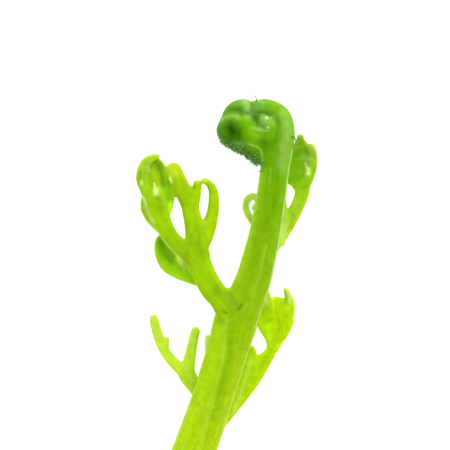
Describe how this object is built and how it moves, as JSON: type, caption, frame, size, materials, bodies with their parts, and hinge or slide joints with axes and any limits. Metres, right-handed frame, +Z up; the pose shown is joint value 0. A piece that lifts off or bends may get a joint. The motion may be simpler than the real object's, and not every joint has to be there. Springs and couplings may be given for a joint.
{
  "type": "water sprite leaf",
  "caption": "Young frond of water sprite, a soft green water fern: a thick cut stalk with forked finger-like leaflets and a tightly coiled tip, lying on its back.",
  "frame": {"origin": "middle of the box of the lying frond, seen from above, on the surface it lies on", "axes": "+Y along the frond from the cut end of the stalk to the coiled tip, +Z up from the surface, +X to the right seen from above with the tip ahead"},
  "size_m": [0.0218, 0.0502, 0.0084],
  "materials": {
    "fresh_frond": "satin"
  },
  "bodies": {
    "root": {"frond": "fresh_frond"}
  },
  "joints": []
}
